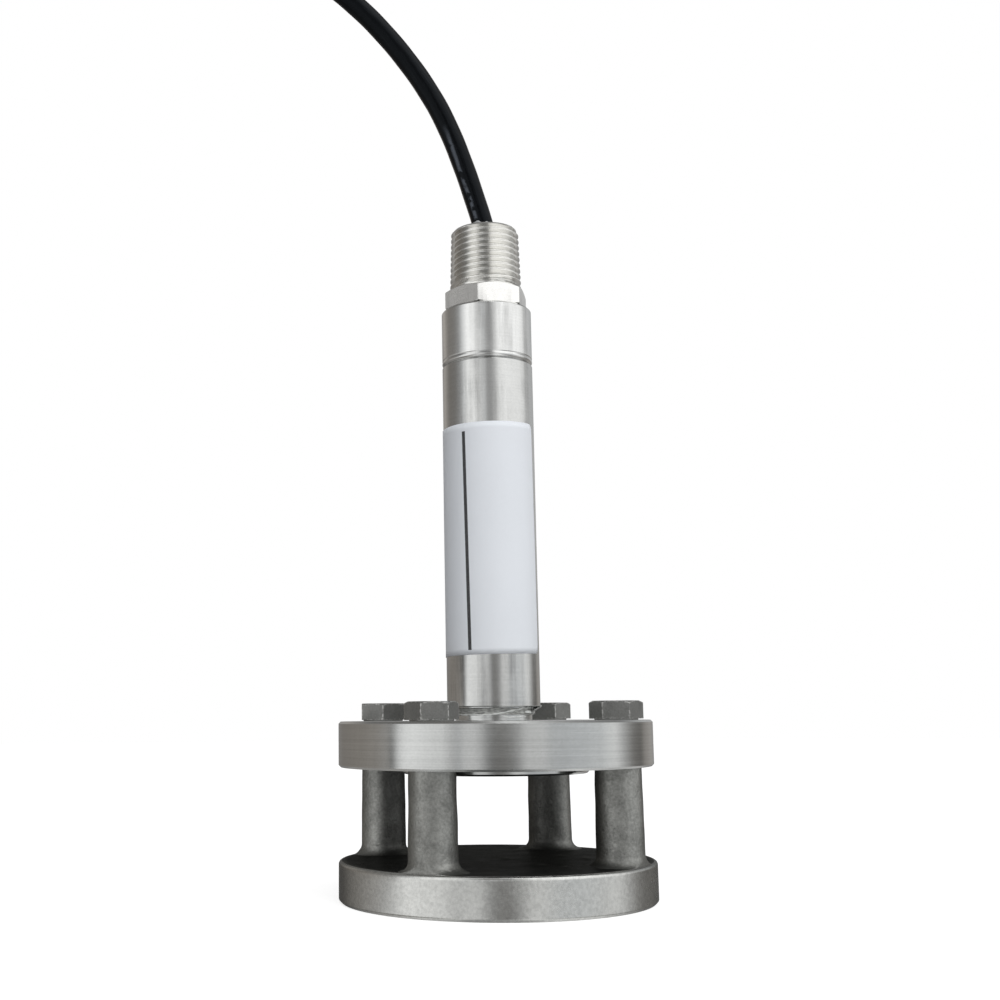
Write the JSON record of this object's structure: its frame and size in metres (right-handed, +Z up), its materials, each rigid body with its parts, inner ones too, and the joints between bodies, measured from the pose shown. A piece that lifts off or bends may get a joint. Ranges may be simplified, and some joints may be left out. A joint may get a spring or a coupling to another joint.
{
  "type": "submersible level transmitter",
  "caption": "Flanged submersible level transmitter with a caged flush diaphragm, tube housing, taper-threaded conduit fitting and a long vented cable, wound in a coil.",
  "frame": {"origin": "centre of the cage's foot plate, on the surface it stands on", "axes": "+Z up along the housing, -Y the front where the label reads, -X the side where the cable comes down to its coil"},
  "size_m": [0.2952, 0.099, 0.2964],
  "materials": {
    "cast_steel": "cast stainless steel, the rims turned bright",
    "turned_steel": "turned stainless steel with a fine lathe finish",
    "tube_steel": "drawn and brushed stainless steel",
    "bolt_steel": "matt cold-headed stainless steel",
    "thin_steel": "thin rolled stainless sheet",
    "capsule_steel": "turned stainless steel capsule",
    "label_paper": "white matt label stock",
    "thread_tape": "thin white sealing tape",
    "nitrile": "black nitrile rubber",
    "jacket": "black polyurethane jacket, satin",
    "sealant": "grey sealing compound",
    "board_laminate": "green glass laminate",
    "black_plastic": "black moulded plastic",
    "white_plastic": "natural moulded plastic",
    "blue_plastic": "blue moulded plastic",
    "ceramic": "glazed ceramic",
    "red_insulation": "red wire insulation",
    "black_insulation": "black wire insulation",
    "tinned_copper": "tinned copper strands",
    "clear_tube": "natural nylon tube",
    "tie_plastic": "black nylon tie",
    "crimp_metal": "plain crimped aluminium"
  },
  "bodies": {
    "root": {"protection_cage": "cast_steel", "upper_flange": "turned_steel", "flange_bolts": "bolt_steel", "sensing_diaphragm": "thin_steel", "sensor_nose": "turned_steel", "seal_tape": "thread_tape", "sensor_capsule": "capsule_steel", "capsule_o_ring": "nitrile", "capsule_retaining_ring": "turned_steel", "housing_tube": "tube_steel", "id_label": "label_paper", "lower_board_clip": "white_plastic", "upper_board_clip": "white_plastic", "signal_board": "board_laminate", "amplifier_chip": "black_plastic", "terminal_block": "black_plastic", "span_trimmers": "blue_plastic", "smoothing_capacitor": "black_plastic", "board_standoffs": "white_plastic", "surge_board": "board_laminate", "surge_arrester": "ceramic", "inner_lead_red": "red_insulation", "inner_lead_black": "black_insulation", "inner_vent_tube": "clear_tube", "top_cap": "tube_steel", "cap_o_ring": "nitrile", "conduit_fitting": "turned_steel", "gland_washer": "turned_steel", "cable_grommet": "nitrile", "clamp_washer": "turned_steel", "potting_plug": "sealant", "crimp_ferrule": "crimp_metal", "cable_entry": "jacket", "cable_run": "jacket", "cable_coil": "jacket", "coil_ties": "tie_plastic", "lead_red": "red_insulation", "lead_black": "black_insulation", "drain_wire": "tinned_copper", "vent_tube_end": "clear_tube"}
  },
  "joints": []
}
